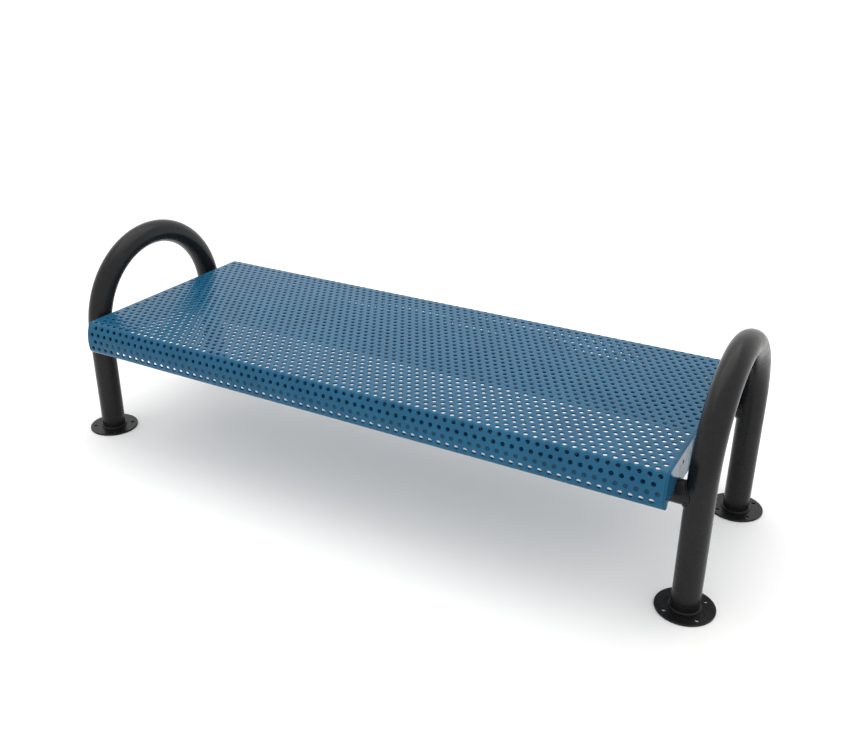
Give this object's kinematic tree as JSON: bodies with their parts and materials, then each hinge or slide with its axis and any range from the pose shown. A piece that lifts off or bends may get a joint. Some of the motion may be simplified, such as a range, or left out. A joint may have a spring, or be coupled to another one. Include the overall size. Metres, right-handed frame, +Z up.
{
  "type": "backless bench",
  "caption": "Backless street bench: long perforated rolled-edge seat pan between two bent-tube end arches on round bolt-down base flanges.",
  "frame": {"origin": "on the ground, under the centre of the bench", "axes": "+X along the seat, +Y to the rear, +Z up"},
  "size_m": [2.094, 0.7356, 0.6388],
  "materials": {
    "seat_coat": "thick glossy blue plastisol dip coat over perforated steel sheet and pipe",
    "frame_coat": "satin black powder coat on steel pipe and plate",
    "black_hardware": "black oxide carriage bolts",
    "zinc_hardware": "zinc plated nuts"
  },
  "bodies": {
    "root": {"arch_left": "frame_coat", "seat_end_plate_left": "seat_coat", "base_flange_left_front": "frame_coat", "rail_stub_left_front": "frame_coat", "rail_tab_left_front": "seat_coat", "base_flange_left_rear": "frame_coat", "rail_stub_left_rear": "frame_coat", "rail_tab_left_rear": "seat_coat", "arch_right": "frame_coat", "seat_end_plate_right": "seat_coat", "base_flange_right_front": "frame_coat", "rail_stub_right_front": "frame_coat", "rail_tab_right_front": "seat_coat", "base_flange_right_rear": "frame_coat", "rail_stub_right_rear": "frame_coat", "rail_tab_right_rear": "seat_coat", "seat_rail_front": "seat_coat", "seat_rail_rear": "seat_coat", "seat_rail_centre": "seat_coat", "seat_panel": "seat_coat", "rail_bolts": "black_hardware", "rail_nuts": "zinc_hardware"}
  },
  "joints": []
}
